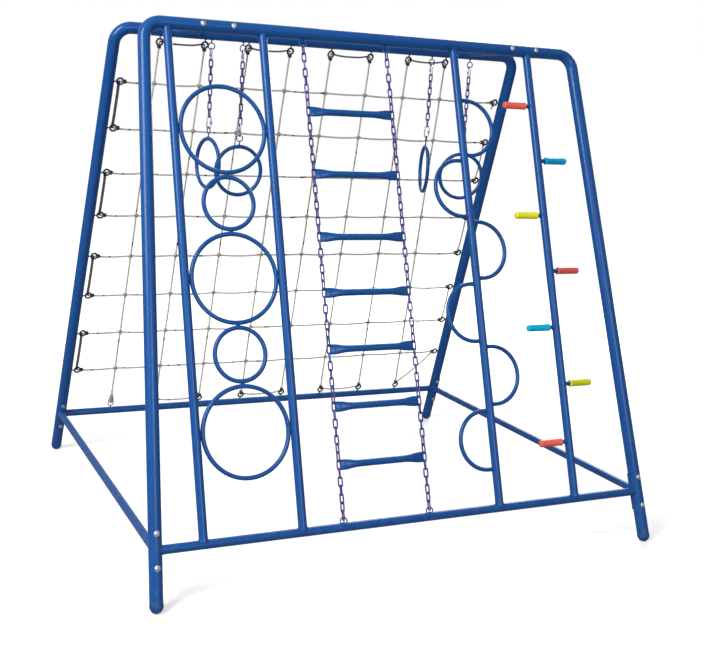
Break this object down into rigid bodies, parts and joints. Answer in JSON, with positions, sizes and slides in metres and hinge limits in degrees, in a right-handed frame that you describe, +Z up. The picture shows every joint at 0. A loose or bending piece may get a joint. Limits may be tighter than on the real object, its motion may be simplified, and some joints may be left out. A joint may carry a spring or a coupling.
{
  "type": "climbing frame",
  "caption": "A-shaped tubular garden climbing frame with a ring ladder, a chain ladder, a hooped rail, a peg rail, a rope net and hanging gym rings.",
  "frame": {"origin": "on the ground, in the middle of the four feet", "axes": "+X runs along the bars to the right as seen from the front, the front frame with the ladders stands at -Y and the rear frame with the net at +Y, +Z is up"},
  "size_m": [1.779, 1.5, 1.66],
  "materials": {
    "blue_steel": "glossy blue powder coat",
    "blue_caps": "smooth blue caps",
    "chain_steel": "blue coated chain",
    "zinc_steel": "bright zinc",
    "rope": "braided grey rope with dark flecks",
    "grip_red": "moulded red",
    "grip_cyan": "moulded light blue",
    "grip_yellow": "moulded yellow"
  },
  "bodies": {
    "frame": {"front_frame": "blue_steel", "rear_frame": "blue_steel", "front_bottom_bar": "blue_steel", "rear_bottom_bar": "blue_steel", "left_side_brace": "blue_steel", "right_side_brace": "blue_steel", "left_top_spacer": "blue_steel", "right_top_spacer": "blue_steel", "ring_ladder_left_rail": "blue_steel", "ring_ladder_right_rail": "blue_steel", "hoop_rail": "blue_steel", "peg_rail": "blue_steel", "ladder_ring_1": "blue_steel", "ladder_ring_2": "blue_steel", "ladder_ring_3": "blue_steel", "ladder_ring_4": "blue_steel", "ladder_ring_5": "blue_steel", "snake_hoop_1": "blue_steel", "snake_hoop_2": "blue_steel", "snake_hoop_3": "blue_steel", "snake_hoop_4": "blue_steel", "snake_hoop_5": "blue_steel", "snake_hoop_6": "blue_steel", "peg_grip_1": "grip_red", "peg_grip_2": "grip_cyan", "peg_grip_3": "grip_yellow", "peg_grip_4": "grip_red", "peg_grip_5": "grip_cyan", "peg_grip_6": "grip_yellow", "peg_grip_7": "grip_red", "foot_cap_front_left": "blue_caps", "foot_cap_front_right": "blue_caps", "foot_cap_rear_left": "blue_caps", "foot_cap_rear_right": "blue_caps", "climbing_net": "rope"},
    "ladder_upper": {"ladder_chain_upper_left": "chain_steel", "ladder_chain_upper_right": "chain_steel", "ladder_rung_1": "blue_steel", "ladder_rung_2": "blue_steel", "ladder_rung_3": "blue_steel", "ladder_rung_4": "blue_steel"},
    "ladder_lower": {"ladder_chain_lower_left": "chain_steel", "ladder_chain_lower_right": "chain_steel", "ladder_rung_5": "blue_steel", "ladder_rung_6": "blue_steel", "ladder_rung_7": "blue_steel"},
    "quick_link_1": {"quick_link_1": "zinc_steel"},
    "gym_chain_1": {"gym_chain_1": "chain_steel"},
    "gym_ring_1": {"gym_ring_1": "blue_steel"},
    "quick_link_2": {"quick_link_2": "zinc_steel"},
    "gym_chain_2": {"gym_chain_2": "chain_steel"},
    "gym_ring_2": {"gym_ring_2": "blue_steel"},
    "quick_link_3": {"quick_link_3": "zinc_steel"},
    "gym_chain_3": {"gym_chain_3": "chain_steel"},
    "gym_ring_3": {"gym_ring_3": "blue_steel"},
    "quick_link_4": {"quick_link_4": "zinc_steel"},
    "gym_chain_4": {"gym_chain_4": "chain_steel"},
    "gym_ring_4": {"gym_ring_4": "blue_steel"}
  },
  "joints": [
    {"name": "quick_link_1_swing", "type": "hinge", "parent": "frame", "child": "quick_link_1", "pos_m": [-0.455, 0.17, 1.5882], "axis": [1, 0, 0], "range_deg": [-45, 5]},
    {"name": "gym_chain_1_sway", "type": "hinge", "parent": "quick_link_1", "child": "gym_chain_1", "pos_m": [-0.455, 0.17, 1.5506], "axis": [0, 1, 0], "range_deg": [0, 25]},
    {"name": "gym_ring_1_tilt", "type": "hinge", "parent": "gym_chain_1", "child": "gym_ring_1", "pos_m": [-0.455, 0.17, 1.3211], "axis": [0.989, 0.1478, 0], "range_deg": [-8, 5]},
    {"name": "quick_link_2_swing", "type": "hinge", "parent": "frame", "child": "quick_link_2", "pos_m": [-0.3385, 0.17, 1.5882], "axis": [1, 0, 0], "range_deg": [-45, 12]},
    {"name": "gym_chain_2_sway", "type": "hinge", "parent": "quick_link_2", "child": "gym_chain_2", "pos_m": [-0.3385, 0.17, 1.5506], "axis": [0, 1, 0], "range_deg": [-25, 0]},
    {"name": "gym_ring_2_tilt", "type": "hinge", "parent": "gym_chain_2", "child": "gym_ring_2", "pos_m": [-0.3385, 0.17, 1.3025], "axis": [1, 0, 0], "range_deg": [-15, 10]},
    {"name": "quick_link_3_swing", "type": "hinge", "parent": "frame", "child": "quick_link_3", "pos_m": [0.422, 0.17, 1.5882], "axis": [1, 0, 0], "range_deg": [-45, 5]},
    {"name": "gym_chain_3_sway", "type": "hinge", "parent": "quick_link_3", "child": "gym_chain_3", "pos_m": [0.422, 0.17, 1.5506], "axis": [0, 1, 0], "range_deg": [0, 25]},
    {"name": "gym_ring_3_tilt", "type": "hinge", "parent": "gym_chain_3", "child": "gym_ring_3", "pos_m": [0.422, 0.17, 1.3211], "axis": [0.9336, -0.3584, 0], "range_deg": [-15, 5]},
    {"name": "quick_link_4_swing", "type": "hinge", "parent": "frame", "child": "quick_link_4", "pos_m": [0.59, 0.17, 1.5882], "axis": [1, 0, 0], "range_deg": [-45, 12]},
    {"name": "gym_chain_4_sway", "type": "hinge", "parent": "quick_link_4", "child": "gym_chain_4", "pos_m": [0.59, 0.17, 1.5506], "axis": [0, 1, 0], "range_deg": [-20, 0]},
    {"name": "gym_ring_4_tilt", "type": "hinge", "parent": "gym_chain_4", "child": "gym_ring_4", "pos_m": [0.59, 0.17, 1.3025], "axis": [0.9755, -0.2199, 0], "range_deg": [-15, 10]},
    {"name": "ladder_bow_upper", "type": "hinge", "parent": "frame", "child": "ladder_upper", "pos_m": [-0.117, -0.18425, 1.59874], "axis": [1, 0, 0], "range_deg": [-4, 4], "stiffness_Nm_per_rad": 150},
    {"name": "ladder_bow_lower", "type": "hinge", "parent": "ladder_upper", "child": "ladder_lower", "pos_m": [-0.117, -0.44953, 0.83077], "axis": [1, 0, 0], "range_deg": [-9, 9]}
  ],
  "couplings": [
    {"joint": "ladder_bow_lower", "follows": "ladder_bow_upper", "ratio": -2.1853}
  ]
}
